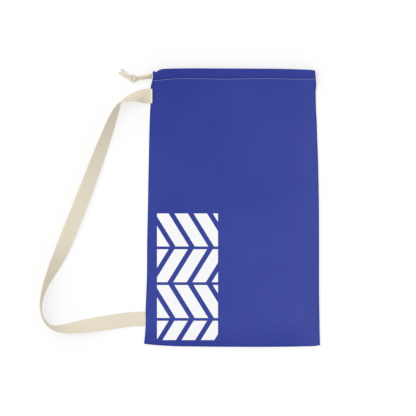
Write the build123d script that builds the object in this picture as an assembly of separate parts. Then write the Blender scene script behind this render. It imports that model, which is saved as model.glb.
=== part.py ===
from build123d import *
import math
import os

# Laundry bag lying flat, in millimetres. +X is to the right, +Y towards the mouth, +Z up from
# the surface that the bag lies on. The origin is the middle of the back panel's outer face.
os.makedirs("parts", exist_ok=True)

# ---- cloth body ----
CLOTH = 0.6                # one ply of the printed cloth
BAG_HEIGHT = 755.0         # mouth edge to the lowest point of the base seam
MOUTH_WIDTH = 448.0        # across the side seams at the hem stitching
BASE_WIDTH = 477.0         # across the base corners
MOUTH_SHIFT = 4.0          # the mouth's middle lies this far to +X of the base's middle
BASE_BOW = 5.5             # how far the base seam bows below its corners
FRONT_RISE = 14.0          # top of the front panel over the surface
SEAM_SLOPE = 70.0          # width of the slope from a seam up to the flat of the front panel
MOUTH_SLOPE = 8.0          # width of that slope where the front panel meets the hem
SHOULDER_DROP = 31.0       # length over which the slope narrows below the hem
SEAM_MARGIN = 0.85         # seam allowances end this far inside where the slope clears their edge

# ---- hem, drawstring and its slit ----
HEM_DEPTH = 29.0           # mouth edge to the hem stitching
HEM_START = 6.0            # the hem's open end stands in from the left seam by this much
HEM_END = 1.0              # the hem's closed end stands in from the right seam by this much
MOUTH_GAP = 5.2            # clear height between the two hems
CORD_DIAMETER = 6.0
CORD_CLEARANCE = 0.1       # cord to cloth inside the hem, above and below
CORD_STAGGER = 6.0         # the front run lies this much nearer the mouth than the back run
CORD_RISE = 5.0            # hem stitching to the middle of the back run
TURN_ROOM = 4.0            # cord's turn to the closed end of the hem
STRAND_START = 14.0        # the free strands begin this far inside the hem's open end
STRAND_GAP = 0.4           # between the two strands where they lie side by side
KNOT_SIZE = (22.0, 20.0, 15.0)
KNOT_ROUND = 3.5

# ---- shoulder strap ----
WEBBING_WIDTH = 39.0
WEBBING = 2.4              # webbing thickness
WEBBING_GAP = 0.1          # webbing to the cloth under or over it
HINGE_OUT = 6.5            # base corner to the line about which the strap swings
HINGE_HALF_GAP = 3.0       # sewn ends to that line
STRAP_UPPER_Y = 302.5
STRAP_LOWER_Y = -301.5
STRAP_OVERLAP = 5.5        # upper end laps over the bag's edge
STRAP_DOUBLED = 17.5       # length of the doubled, box-stitched part
STRAP_IN_SEAM = 14.0       # lower end reaches this far inside the side seam
BOX_MARGIN = 2.0           # box stitch to the edges of the doubled webbing

# ---- sewing thread ----
THREAD = 0.5
OVERLOCK = 1.0             # width of the overlocked edge

# ---- sizes that follow ----
TOP_Y = BAG_HEIGHT / 2
BASE_Y = BASE_BOW - BAG_HEIGHT / 2
STITCH_Y = TOP_Y - HEM_DEPTH
MOUTH_LEFT = MOUTH_SHIFT - MOUTH_WIDTH / 2
MOUTH_RIGHT = MOUTH_SHIFT + MOUTH_WIDTH / 2
HEM_LEFT = MOUTH_LEFT + HEM_START
HEM_RIGHT = MOUTH_RIGHT - HEM_END
SEAM_Z = 2 * CLOTH
ALLOWANCE = CLOTH + 2 * CLOTH * SEAM_SLOPE / (FRONT_RISE - SEAM_Z) + SEAM_MARGIN
HEM_HEIGHT = CORD_DIAMETER + 2 * CORD_CLEARANCE + 2 * CLOTH
FRONT_HEM_Z = HEM_HEIGHT + MOUTH_GAP
HEM_TOP = FRONT_HEM_Z + HEM_HEIGHT
BACK_CORD_Z = HEM_HEIGHT / 2
FRONT_CORD_Z = FRONT_HEM_Z + HEM_HEIGHT / 2
BACK_CORD_Y = STITCH_Y + CORD_RISE
FRONT_CORD_Y = BACK_CORD_Y + CORD_STAGGER
CORD_TURN_R = ((FRONT_CORD_Z - BACK_CORD_Z) ** 2 + CORD_STAGGER ** 2) ** 0.5 / 2
CORD_TURN_X = HEM_RIGHT - CLOTH - TURN_ROOM - CORD_DIAMETER / 2 - CORD_TURN_R
CASING_LEFT = HEM_LEFT + STRAND_START
STRAP_Z = CLOTH + WEBBING_GAP
HINGE_X = -BASE_WIDTH / 2 - HINGE_OUT


def beside_exit(route):
    """Points given as X and Y from the hem's open end and height over a cord on the surface."""
    return [(HEM_LEFT + x, BACK_CORD_Y + y, CORD_DIAMETER / 2 + lift) for x, y, lift in route]


# Free strands and tails of the drawstring, from the hem or the knot outwards. The first two
# points of a strand are in line with the cord's run inside the hem.
STRAIGHT_X = HEM_LEFT - 10.0
SIDE = (CORD_DIAMETER + STRAND_GAP) / 2
FRONT_STRAND = [(CASING_LEFT, FRONT_CORD_Y, FRONT_CORD_Z), (STRAIGHT_X, FRONT_CORD_Y, FRONT_CORD_Z)]
FRONT_STRAND += beside_exit([(-22.0, 0.7 + SIDE, 9.8), (-33.0, SIDE - 1.9, 6.6), (-45.5, SIDE - 3.0, 5.2)])
BACK_STRAND = [(CASING_LEFT, BACK_CORD_Y, BACK_CORD_Z), (STRAIGHT_X, BACK_CORD_Y, BACK_CORD_Z)]
BACK_STRAND += beside_exit([(-22.0, 0.7 - SIDE, 1.9), (-33.0, -SIDE - 1.9, 3.2), (-45.5, -SIDE - 3.0, 4.2)])
FRONT_TAIL = beside_exit([(-62.0, SIDE - 1.0, 4.5), (-69.5, 7.7, 3.0), (-77.0, 15.5, 1.2),
                          (-85.0, 22.1, 0.2)])
BACK_TAIL = beside_exit([(-63.0, -SIDE - 1.3, 4.0), (-72.0, -1.4, 2.6), (-82.5, 5.5, 1.0),
                         (-93.0, 12.5, 0.2)])
KNOT_CENTRE = beside_exit([(-55.0, -3.0, (KNOT_SIZE[2] - CORD_DIAMETER) / 2 + 0.2)])[0]

# Shoulder strap: X from the hinge line and Y of the webbing's middle, and its lean in degrees.
# At 0 it lies on its first face, at 90 it stands on edge, and at 180 it lies on its other face.
STRAP_ROUTE = [
    (-HINGE_HALF_GAP, STRAP_UPPER_Y, 0),
    (-7.0, 301.9, 4),
    (-11.0, 301.2, 14),
    (-15.5, 300.4, 26),
    (-20.5, 299.3, 37),
    (-26.5, 298.0, 48),
    (-33.5, 296.2, 58),
    (-41.0, 293.0, 67),
    (-48.5, 288.8, 78),
    (-55.5, 282.8, 90),
    (-62.2, 274.4, 102),
    (-68.0, 263.6, 111),
    (-73.4, 251.5, 118),
    (-80.0, 235.5, 125),
    (-89.6, 209.2, 134),
    (-99.8, 182.0, 141),
    (-110.0, 155.0, 148),
    (-129.6, 103.0, 158),
    (-150.4, 48.0, 165),
    (-172.0, -7.5, 170),
    (-193.4, -61.0, 171),
    (-210.2, -102.0, 165),
    (-222.0, -130.0, 154),
    (-233.2, -154.0, 141),
    (-244.0, -176.0, 128),
    (-254.4, -198.0, 116),
    (-263.4, -221.5, 106),
    (-269.4, -243.5, 99),
    (-272.2, -263.0, 95),
    (-271.0, -281.5, 92),
    (-266.2, -298.0, 92),
    (-258.4, -311.5, 94),
    (-247.8, -321.2, 98),
    (-235.2, -325.8, 107),
    (-220.6, -327.6, 117),
    (-205.8, -327.4, 127),
    (-192.0, -326.0, 135),
    (-178.0, -324.3, 142),
    (-164.0, -322.2, 149),
    (-145.0, -319.2, 157),
    (-121.0, -315.6, 165),
    (-93.0, -311.4, 172),
    (-63.0, -307.0, 177),
    (-31.0, -303.0, 180),
    (-HINGE_HALF_GAP, STRAP_LOWER_Y, 180),
]


def seam_x(side, y):
    """X of a side seam at height y: a straight line from the base corner to the hem."""
    at_mouth = MOUTH_LEFT if side < 0 else MOUTH_RIGHT
    at_base = side * BASE_WIDTH / 2
    share = (y - BASE_Y) / (STITCH_Y - BASE_Y)
    return at_base + share * (at_mouth - at_base)


def outline(z, inset, mouth_inset, end_y=STITCH_Y):
    """Plan of the bag below the hem, its seams moved in by inset, and by mouth_inset at the hem."""
    shoulder_y = STITCH_Y - SHOULDER_DROP
    base_y = BASE_Y + inset
    left = [
        (MOUTH_LEFT + mouth_inset, end_y, z),
        (seam_x(-1, shoulder_y) + inset, shoulder_y, z),
        (seam_x(-1, base_y) + inset, base_y, z),
    ]
    right = [
        (seam_x(1, base_y) - inset, base_y, z),
        (seam_x(1, shoulder_y) - inset, shoulder_y, z),
        (MOUTH_RIGHT - mouth_inset, end_y, z),
    ]
    bow = ThreePointArc(left[2], (0, base_y - BASE_BOW, z), right[0])
    edges = Polyline(*left).edges() + bow.edges() + Polyline(*right).edges()
    edges += Line(right[2], left[0]).edges()
    return make_face(edges)


def dome(shrink):
    """Solid under the front panel: slopes up from the seams to a flat top."""
    foot = outline(SEAM_Z - shrink, shrink, shrink)
    crown = outline(FRONT_RISE - shrink, SEAM_SLOPE + shrink, MOUTH_SLOPE + shrink)
    return loft([foot, crown], ruled=True)


def allowance(z):
    """Strip of cloth turned in along both side seams and the base seam."""
    whole = extrude(outline(z, 0, 0), CLOTH)
    middle = extrude(outline(z, ALLOWANCE, ALLOWANCE, STITCH_Y + 1), CLOTH)
    return whole - middle


def hem_section(low):
    """Section of a hem tunnel in the YZ plane: pinched at the stitching, round at the mouth."""
    radius = HEM_HEIGHT / 2
    middle = low + radius
    pinch = min(CORD_RISE - CORD_DIAMETER / 2, radius) / 2
    lower = [
        (0, TOP_Y - radius, low + HEM_HEIGHT),
        (0, STITCH_Y + pinch, low + HEM_HEIGHT),
        (0, STITCH_Y, middle + CLOTH),
        (0, STITCH_Y, middle - CLOTH),
        (0, STITCH_Y + pinch, low),
        (0, TOP_Y - radius, low),
    ]
    fold = ThreePointArc(lower[5], (0, TOP_Y, middle), lower[0])
    return make_face(Polyline(*lower).edges() + fold.edges())


def hem(low):
    """Hem tunnel of one panel, open at its left end and walled at its right end."""
    outer = hem_section(low)
    tunnel = offset(outer, amount=-CLOTH)
    sleeve = extrude(outer, HEM_RIGHT - HEM_LEFT, dir=(1, 0, 0))
    sleeve -= extrude(tunnel, HEM_RIGHT - HEM_LEFT - CLOTH, dir=(1, 0, 0))
    return Pos(HEM_LEFT, 0, 0) * sleeve


def block(x, y, z):
    """Box from its three (low, high) pairs."""
    corner = Pos(x[0], y[0], z[0])
    return corner * Box(x[1] - x[0], y[1] - y[0], z[1] - z[0], align=(Align.MIN,) * 3)


def make_front_panel():
    panel = dome(0) - dome(CLOTH) + allowance(SEAM_Z)
    link = stitched_join(FRONT_RISE - CLOTH, FRONT_HEM_Z + HEM_HEIGHT / 2)
    wall = block((HEM_RIGHT - CLOTH, HEM_RIGHT), (STITCH_Y, TOP_Y - HEM_HEIGHT / 2),
                 (HEM_TOP / 2, FRONT_HEM_Z + HEM_HEIGHT / 2))
    turn = block((CORD_TURN_X, HEM_RIGHT - CLOTH), (STITCH_Y + CLOTH, TOP_Y - HEM_HEIGHT / 2),
                 (0, FRONT_HEM_Z + HEM_HEIGHT / 2))
    panel = panel + hem(FRONT_HEM_Z) + link + wall - turn
    return panel + strap_space(CLOTH) - strap_space(0)


def make_back_panel():
    panel = extrude(outline(0, 0, 0), CLOTH) + allowance(CLOTH)
    link = stitched_join(0, HEM_HEIGHT / 2)
    wall = block((HEM_RIGHT - CLOTH, HEM_RIGHT), (STITCH_Y, TOP_Y - HEM_HEIGHT / 2),
                 (HEM_HEIGHT / 2, HEM_TOP / 2))
    turn = block((CORD_TURN_X, HEM_RIGHT - CLOTH), (STITCH_Y + CLOTH, TOP_Y - HEM_HEIGHT / 2),
                 (HEM_HEIGHT / 2, HEM_TOP))
    panel = panel + hem(0) + link + wall - turn
    return panel - strap_space(0)


def stitched_join(low, high):
    """Cloth that joins a panel to its hem along the stitching."""
    x = (MOUTH_LEFT + MOUTH_SLOPE, MOUTH_RIGHT - MOUTH_SLOPE)
    return block(x, (STITCH_Y - CLOTH, STITCH_Y + CLOTH), (low, high))


def strap_space(wall):
    """Room for the strap's lower end between the panels, or the cover of cloth round it."""
    seam = seam_x(-1, STRAP_LOWER_Y)
    half = WEBBING_WIDTH / 2 + WEBBING_GAP + wall
    start = seam if wall else HINGE_X
    low = SEAM_Z if wall else CLOTH
    high = STRAP_Z + WEBBING + THREAD + WEBBING_GAP + wall
    return block((start, seam + STRAP_IN_SEAM + WEBBING_GAP + wall),
                 (STRAP_LOWER_Y - half, STRAP_LOWER_Y + half), (low, high))


def make_hem_thread(z):
    """Straight row of topstitching beside the join of panel and hem."""
    inset = MOUTH_SLOPE + ALLOWANCE
    y = STITCH_Y - CLOTH
    return block((MOUTH_LEFT + inset, MOUTH_RIGHT - inset), (y - THREAD, y), (z, z + THREAD))


def make_seam_threads():
    """Overlock along the raw edges of the seam allowances: left, right and base."""
    far = ALLOWANCE + OVERLOCK
    ring = extrude(outline(CLOTH, ALLOWANCE, ALLOWANCE), 2 * CLOTH)
    ring -= extrude(outline(CLOTH, far, far, STITCH_Y + 1), 2 * CLOTH)
    split_y = BASE_Y + far
    reach = BASE_WIDTH
    base = ring & block((-reach, reach), (-BAG_HEIGHT, split_y), (0, HEM_TOP))
    sides_y = (split_y, STITCH_Y - CLOTH)
    left = ring & block((-reach, 0), sides_y, (0, HEM_TOP))
    right = ring & block((0, reach), sides_y, (0, HEM_TOP))
    return left - strap_space(0) - strap_space(CLOTH), right, base


def cord(points):
    """Round cord along straight runs joined by arcs that take up 0.45 of the shorter run."""
    runs = [Vector(*b) - Vector(*a) for a, b in zip(points, points[1:])]
    radii = []
    for before, after in zip(runs, runs[1:]):
        half_turn = math.radians(before.get_angle(after)) / 2
        radii.append(0.45 * min(before.length, after.length) / math.tan(half_turn))
    print("cord radii", [round(radius, 1) for radius in radii])
    path = FilletPolyline(*points, radius=radii)
    return round_section(path)


def round_section(path):
    """Cord's round section carried along a path."""
    start = Plane(path @ 0, z_dir=path % 0)
    return sweep(start * Circle(CORD_DIAMETER / 2), path=path)


def make_casing_cord():
    """The drawstring inside the hem: front run, turn at the closed end, back run."""
    front = (CORD_TURN_X, FRONT_CORD_Y, FRONT_CORD_Z)
    back = (CORD_TURN_X, BACK_CORD_Y, BACK_CORD_Z)
    middle = (CORD_TURN_X + CORD_TURN_R, (FRONT_CORD_Y + BACK_CORD_Y) / 2,
              (FRONT_CORD_Z + BACK_CORD_Z) / 2)
    turn = ThreePointArc(front, middle, back)
    edges = Line(FRONT_STRAND[0], front).edges() + turn.edges() + Line(back, BACK_STRAND[0]).edges()
    return round_section(Wire(edges))


def make_knot():
    """Outer shape of the overhand knot that ties the two strands together."""
    body = Box(*KNOT_SIZE)
    return Pos(*KNOT_CENTRE) * fillet(body.edges(), KNOT_ROUND)


def strap_section(index):
    """Webbing section at one point of the route, its lower edge just over the surface."""
    x, y, lean = STRAP_ROUTE[index]
    before = STRAP_ROUTE[max(index - 1, 0)]
    after = STRAP_ROUTE[min(index + 1, len(STRAP_ROUTE) - 1)]
    heading = Vector(after[0] - before[0], after[1] - before[1], 0).normalized()
    if index in (0, len(STRAP_ROUTE) - 1):
        heading = Vector(-1 if index == 0 else 1, 0, 0)
    to_right = heading.cross(Vector(0, 0, 1))
    angle = math.radians(lean)
    across = to_right * math.cos(angle) - Vector(0, 0, math.sin(angle))
    rise = WEBBING_WIDTH / 2 * math.sin(angle) + WEBBING / 2 * abs(math.cos(angle))
    plane = Plane((HINGE_X + x, y, STRAP_Z + rise), x_dir=across, z_dir=heading)
    return plane * Rectangle(WEBBING_WIDTH, WEBBING)


def make_strap():
    """The free length of the shoulder strap."""
    return loft([strap_section(i) for i in range(len(STRAP_ROUTE))], ruled=True)


def upper_end_span():
    """X of the doubled webbing: where it starts outside the bag and where it ends on it."""
    end = seam_x(-1, STRAP_UPPER_Y) + STRAP_OVERLAP
    return end - STRAP_DOUBLED, end


def make_strap_upper_end():
    """Sewn upper end: webbing folded double, its upper layer lapping over the bag's edge."""
    start, end = upper_end_span()
    hinge = HINGE_X + HINGE_HALF_GAP
    stop = seam_x(-1, STRAP_UPPER_Y + WEBBING_WIDTH / 2) - WEBBING_GAP
    stop = min(stop, seam_x(-1, STRAP_UPPER_Y - WEBBING_WIDTH / 2) - WEBBING_GAP)
    middle = STRAP_Z + WEBBING
    top = STRAP_Z + 2 * WEBBING
    profile = [(hinge, STRAP_Z), (stop, STRAP_Z), (stop, middle), (end, middle), (end, top),
               (start, top), (hinge, middle)]
    edge = STRAP_UPPER_Y - WEBBING_WIDTH / 2
    side = make_face(Polyline(*[(x, edge, z) for x, z in profile], close=True))
    return extrude(side, WEBBING_WIDTH, dir=(0, 1, 0))


def make_strap_lower_end():
    """Sewn lower end: a single layer that goes into the side seam."""
    end = seam_x(-1, STRAP_LOWER_Y) + STRAP_IN_SEAM
    half = WEBBING_WIDTH / 2
    return block((HINGE_X + HINGE_HALF_GAP, end), (STRAP_LOWER_Y - half, STRAP_LOWER_Y + half),
                 (STRAP_Z, STRAP_Z + WEBBING))


def make_strap_upper_thread():
    """Box stitch with its cross, on the doubled webbing and through the bag's edge."""
    start, end = upper_end_span()
    length = end - start - 2 * BOX_MARGIN
    width = WEBBING_WIDTH - 2 * BOX_MARGIN
    box = Rectangle(length, width) - Rectangle(length - 2 * THREAD, width - 2 * THREAD)
    inner = (length - THREAD, width - THREAD)
    for sign in (-1, 1):
        ends = [(-inner[0] / 2, -sign * inner[1] / 2), (inner[0] / 2, sign * inner[1] / 2)]
        across = Vector(ends[1][1] - ends[0][1], ends[0][0] - ends[1][0]).normalized() * THREAD / 2
        corners = [Vector(*ends[0]) - across, Vector(*ends[1]) - across,
                   Vector(*ends[1]) + across, Vector(*ends[0]) + across]
        box += make_face(Polyline(*corners, close=True)) & Rectangle(length, width)
    return Pos((start + end) / 2, STRAP_UPPER_Y, STRAP_Z + 2 * WEBBING) * extrude(box, THREAD)


def make_strap_lower_thread():
    """Seam stitching across the strap's lower end, inside the bag."""
    seam = seam_x(-1, STRAP_LOWER_Y)
    middle = seam + STRAP_IN_SEAM / 2
    half = WEBBING_WIDTH / 2 - BOX_MARGIN
    top = STRAP_Z + WEBBING
    return block((middle - THREAD / 2, middle + THREAD / 2),
                 (STRAP_LOWER_Y - half, STRAP_LOWER_Y + half), (top, top + THREAD))


left_thread, right_thread, base_thread = make_seam_threads()

PIECES = {
    "front_panel": make_front_panel(),
    "back_panel": make_back_panel(),
    "front_hem_thread": make_hem_thread(FRONT_RISE),
    "back_hem_thread": make_hem_thread(CLOTH),
    "left_seam_thread": left_thread,
    "right_seam_thread": right_thread,
    "base_seam_thread": base_thread,
    "drawstring_in_hem": make_casing_cord(),
    "drawstring_front_strand": cord(FRONT_STRAND),
    "drawstring_back_strand": cord(BACK_STRAND),
    "drawstring_knot": make_knot(),
    "drawstring_front_tail": cord(FRONT_TAIL),
    "drawstring_back_tail": cord(BACK_TAIL),
    "shoulder_strap": make_strap(),
    "strap_upper_end": make_strap_upper_end(),
    "strap_lower_end": make_strap_lower_end(),
    "strap_upper_thread": make_strap_upper_thread(),
    "strap_lower_thread": make_strap_lower_thread(),
}

for name, piece in PIECES.items():
    export_step(piece, f"parts/{name}.step")
    print(f"{name}: {len(piece.solids())} solid(s), {piece.volume:.0f} mm3, valid {piece.is_valid}")
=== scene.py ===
# %% [markdown]
# # A laundry bag, lying flat
#
# The real bag is two cloth panels seamed at the sides and the base, with a hem at the mouth.
# A cotton cord runs through the hem and comes out of a slit at the left, where it is knotted.
# A webbing strap is sewn to the left edge, high up and low down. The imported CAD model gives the
# fixed frame: every piece made here goes where that model says, in metres.
# %% Load the frame
import math

import bpy
import numpy as np
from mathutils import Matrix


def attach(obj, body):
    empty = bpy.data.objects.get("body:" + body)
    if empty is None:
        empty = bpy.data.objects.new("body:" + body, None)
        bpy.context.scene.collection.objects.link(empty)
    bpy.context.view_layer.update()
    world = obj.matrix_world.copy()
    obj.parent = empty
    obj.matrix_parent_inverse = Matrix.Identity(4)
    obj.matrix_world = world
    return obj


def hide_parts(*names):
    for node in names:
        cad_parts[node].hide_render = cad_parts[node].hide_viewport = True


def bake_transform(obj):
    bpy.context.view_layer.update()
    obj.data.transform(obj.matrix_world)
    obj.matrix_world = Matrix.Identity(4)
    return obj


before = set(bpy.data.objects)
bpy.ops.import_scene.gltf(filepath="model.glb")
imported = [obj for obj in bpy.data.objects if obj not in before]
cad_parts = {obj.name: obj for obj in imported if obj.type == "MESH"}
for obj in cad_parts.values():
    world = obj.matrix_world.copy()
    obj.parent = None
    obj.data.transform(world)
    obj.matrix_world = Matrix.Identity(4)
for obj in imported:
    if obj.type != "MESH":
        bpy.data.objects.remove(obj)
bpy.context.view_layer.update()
MM = 0.001

# %% [markdown]
# ## The camera
#
# The bag is seen from straight above. A short lens would spread the raised parts of the strap
# outwards, so a very long lens far away was chosen, which is close to a view without perspective.
# %% Camera
VIEW_WIDTH = 1.1274        # width of the table that the view takes in
LENS = 300.0
SENSOR = 36.0
camera_data = bpy.data.cameras.new("camera")
camera_data.lens = LENS
camera_data.sensor_width = SENSOR
camera_data.clip_end = 50.0
camera = bpy.data.objects.new("camera", camera_data)
camera.location = (-0.0650, -0.0009, VIEW_WIDTH * LENS / SENSOR)
bpy.context.scene.collection.objects.link(camera)
bpy.context.scene.camera = camera
print("camera height", round(camera.location.z, 3), "m")

# %% [markdown]
# ## Meshes from grids
#
# Nearly every piece is a surface over two parameters: rows one way and columns the other. The
# points are worked out as whole numpy arrays, and the faces join neighbours in the grid. A tube
# closes its columns into a ring. The pattern coordinates (UV) are real lengths along the cloth,
# so that a weave has the same size everywhere.
# %% Grid faces and mesh objects
def unit(vectors):
    """Vectors divided by their own length."""
    return vectors / np.maximum(np.linalg.norm(vectors, axis=-1, keepdims=True), 1e-12)


def grid_faces(rows, columns, ring=False):
    """Quads between neighbouring points of a grid; in a ring the last column meets the first."""
    row = np.arange(rows - 1)[:, None] * columns
    column = np.arange(columns if ring else columns - 1)[None, :]
    after = (column + 1) % columns
    corners = [row + column, row + after, row + columns + after, row + columns + column]
    return np.stack(corners, axis=-1).reshape(-1, 4)


def mesh_object(name, points, faces, corner_uv=None, caps=()):
    """Smooth mesh from points in metres, quads, a UV pair per face corner, and end faces."""
    mesh = bpy.data.meshes.new(name)
    everything = faces.tolist() + [list(cap) for cap in caps]
    mesh.from_pydata(np.asarray(points, float).reshape(-1, 3).tolist(), [], everything)
    if corner_uv is not None:
        filled = np.zeros((len(mesh.loops), 2), np.float32)
        filled[: len(corner_uv)] = corner_uv
        mesh.uv_layers.new(name="cloth").data.foreach_set("uv", filled.ravel())
    mesh.polygons.foreach_set("use_smooth", np.ones(len(mesh.polygons), bool))
    mesh.update()
    piece = bpy.data.objects.new(name, mesh)
    bpy.context.scene.collection.objects.link(piece)
    return piece


def gone_along(line):
    """Length from the start of a line of points to each of them."""
    return np.r_[0, np.cumsum(np.linalg.norm(np.diff(line, axis=0), axis=1))]


def tube_object(name, points, along, around, finish, flip=False):
    """Tube from rings of points, closed by a face at both ends. The UVs are lengths in metres
    along it and around it; `around` has one more value than the ring, where it closes."""
    rows, columns = points.shape[:2]
    uv = np.stack(np.broadcast_arrays(along[:, None], around[None]), axis=-1).reshape(-1, 2)
    turn = slice(None, None, -1 if flip else 1)
    faces = grid_faces(rows, columns, ring=True)[:, turn]
    corner_uv = uv[grid_faces(rows, columns + 1)[:, turn].ravel()]
    ends = [range(columns - 1, -1, -1)[turn], range((rows - 1) * columns, rows * columns)[turn]]
    piece = mesh_object(name, points, faces, corner_uv, ends)
    piece.data.materials.append(finish)
    return piece


def thicken(piece, thickness):
    """Gives a sheet its thickness, in mm, on its inner side."""
    solid = piece.modifiers.new("cloth", "SOLIDIFY")
    solid.thickness = thickness * MM
    solid.offset = -1.0
    return solid


def ease(x):
    """Smooth step: 0 below 0, 1 above 1, and 3x^2 - 2x^3 between."""
    x = np.clip(x, 0, 1)
    return x * x * (3 - 2 * x)


def follow(table, at):
    """Smooth line through a table of (position, value): cubic pieces that share their slopes."""
    position, value = np.array(table, float).T
    slope = np.gradient(value, position)
    i = np.clip(np.searchsorted(position, at) - 1, 0, len(position) - 2)
    step = position[i + 1] - position[i]
    t = np.clip((at - position[i]) / step, 0, 1)
    start = (1 + 2 * t) * (1 - t) ** 2 * value[i] + t * (1 - t) ** 2 * step * slope[i]
    return start + t * t * (3 - 2 * t) * value[i + 1] + t * t * (t - 1) * step * slope[i + 1]


print("grid of 3 by 4 points has", len(grid_faces(3, 4)), "faces")

# %% [markdown]
# ## Finishes
#
# Cloth, webbing and cord each get their own procedural finish. The weave is made from sine waves
# over the pattern coordinates, in real thread sizes, and it drives both a little colour and the
# bump. A picture of cloth could do the same, but it would not stay sharp close up.
# %% Node helpers
def node(tree, kind, inputs=None, **settings):
    """Adds one shader node, sets it, and joins or fills its inputs."""
    made = tree.nodes.new("ShaderNode" + kind)
    for key, value in settings.items():
        setattr(made, key, value)
    for socket, value in (inputs or {}).items():
        if isinstance(value, bpy.types.NodeSocket):
            tree.links.new(value, made.inputs[socket])
        else:
            made.inputs[socket].default_value = value
    return made


def calc(tree, operation, *values):
    """One Math node on sockets or numbers."""
    return node(tree, "Math", dict(enumerate(values)), operation=operation).outputs[0]


def blend_colour(tree, share, a, b, how="MIX"):
    """One colour Mix node on sockets or colours."""
    inputs = {0: share, 6: a, 7: b}
    mixer = node(tree, "Mix", inputs, data_type="RGBA", blend_type=how)
    return mixer.outputs[2]


def srgb(red, green, blue):
    """Linear colour with alpha from 0-255 screen values."""
    value = np.array([red, green, blue]) / 255
    linear = np.where(value <= 0.04045, value / 12.92, ((value + 0.055) / 1.055) ** 2.4)
    return (*linear.tolist(), 1.0)


def waves(tree, coordinate, pitch, phase=0.0):
    """Sine wave from 0 to 1 with the given pitch in metres."""
    angle = calc(tree, "MULTIPLY_ADD", coordinate, 2 * math.pi / pitch, phase)
    return calc(tree, "MULTIPLY_ADD", calc(tree, "SINE", angle), 0.5, 0.5)


def ramp(tree, value, start, end, low, high):
    """Straight ramp from `low` at `start` to `high` at `end`, level outside them."""
    inputs = {0: value, 1: start, 2: end, 3: low, 4: high}
    return node(tree, "MapRange", inputs).outputs[0]


def new_material(name):
    """New material, with its tree and its shader."""
    material = bpy.data.materials.new(name)
    material.use_nodes = True
    return material, material.node_tree, material.node_tree.nodes["Principled BSDF"]


def start_material(name, roughness, sheen, sheen_roughness=0.5, specular=0.3):
    """New material with its plain numbers set, and its tree, shader and pattern coordinates."""
    material, tree, shader = new_material(name)
    shader.inputs["Roughness"].default_value = roughness
    shader.inputs["Sheen Weight"].default_value = sheen
    shader.inputs["Sheen Roughness"].default_value = sheen_roughness
    shader.inputs["Specular IOR Level"].default_value = specular
    uv = node(tree, "UVMap", uv_map="cloth").outputs[0]
    cloth = node(tree, "SeparateXYZ", {0: uv})
    return material, tree, shader, cloth.outputs[0], cloth.outputs[1]


def add_looks(tree, shader, colour, height, distance, strength):
    """Joins the colour to the shader, and a bump made from the height."""
    tree.links.new(colour, shader.inputs["Base Color"])
    inputs = {"Height": height, "Distance": distance, "Strength": strength}
    tree.links.new(node(tree, "Bump", inputs).outputs[0], shader.inputs["Normal"])


print("blue ink in linear light:", [round(v, 3) for v in srgb(62, 74, 155)])

# %% [markdown]
# ### Printed cloth
#
# The bag is white polyester, printed blue on its outer face only, so the inside stays white. The
# plain weave shows close up. The front also carries a white motif low on the left, here a
# herringbone of bars in four blocks: a block number comes from the height, and odd and even
# blocks lean opposite ways. Painted shade darkens the blue on the folds of the seams, and the
# hem is a little darker.
# %% Printed cloth
WEAVE = 0.0006             # pitch of the cloth's threads
MOTIF_LEFT, MOTIF_RIGHT = -0.203, -0.038
MOTIF_TOP, MOTIF_BASE = -0.0157, -0.3585
BLOCK_PITCH = 0.0968
BLOCK_HEIGHT = 0.0892
BAR_PITCH = 0.052
BAR_SHARE = 0.7
BAR_LEAN = 0.62


def plain_weave(tree, along, across, pitch):
    """Height of a plain weave: threads of the two sets rise and dip in turn."""
    warp = waves(tree, along, 2 * pitch)
    weft = waves(tree, across, 2 * pitch, math.pi / 2)
    fine = calc(tree, "MULTIPLY", waves(tree, along, pitch), waves(tree, across, pitch))
    return calc(tree, "MULTIPLY_ADD", calc(tree, "MULTIPLY", warp, weft), 0.5, fine)


def motif_mask(tree):
    """1 inside the bars of the four blocks, from the object's own X and Y."""
    place = node(tree, "SeparateXYZ", {0: node(tree, "TexCoord").outputs["Object"]})
    x, y = place.outputs[0], place.outputs[1]
    down = calc(tree, "DIVIDE", calc(tree, "SUBTRACT", MOTIF_TOP, y), BLOCK_PITCH)
    number = calc(tree, "FLOOR", down)
    within = calc(tree, "MULTIPLY", calc(tree, "SUBTRACT", down, number), BLOCK_PITCH)
    side = calc(tree, "MULTIPLY_ADD", calc(tree, "PINGPONG", number, 1.0), 2.0, -1.0)
    lean = calc(tree, "MULTIPLY", calc(tree, "MULTIPLY", within, BAR_LEAN), side)
    bar = calc(tree, "FRACT", calc(tree, "DIVIDE", calc(tree, "ADD", x, lean), BAR_PITCH))
    mask = calc(tree, "LESS_THAN", bar, BAR_SHARE)
    limits = [("LESS_THAN", within, BLOCK_HEIGHT), ("GREATER_THAN", x, MOTIF_LEFT),
              ("LESS_THAN", x, MOTIF_RIGHT), ("LESS_THAN", y, MOTIF_TOP),
              ("GREATER_THAN", y, MOTIF_BASE)]
    for test, value, limit in limits:
        mask = calc(tree, "MULTIPLY", mask, calc(tree, test, value, limit))
    return mask


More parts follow.
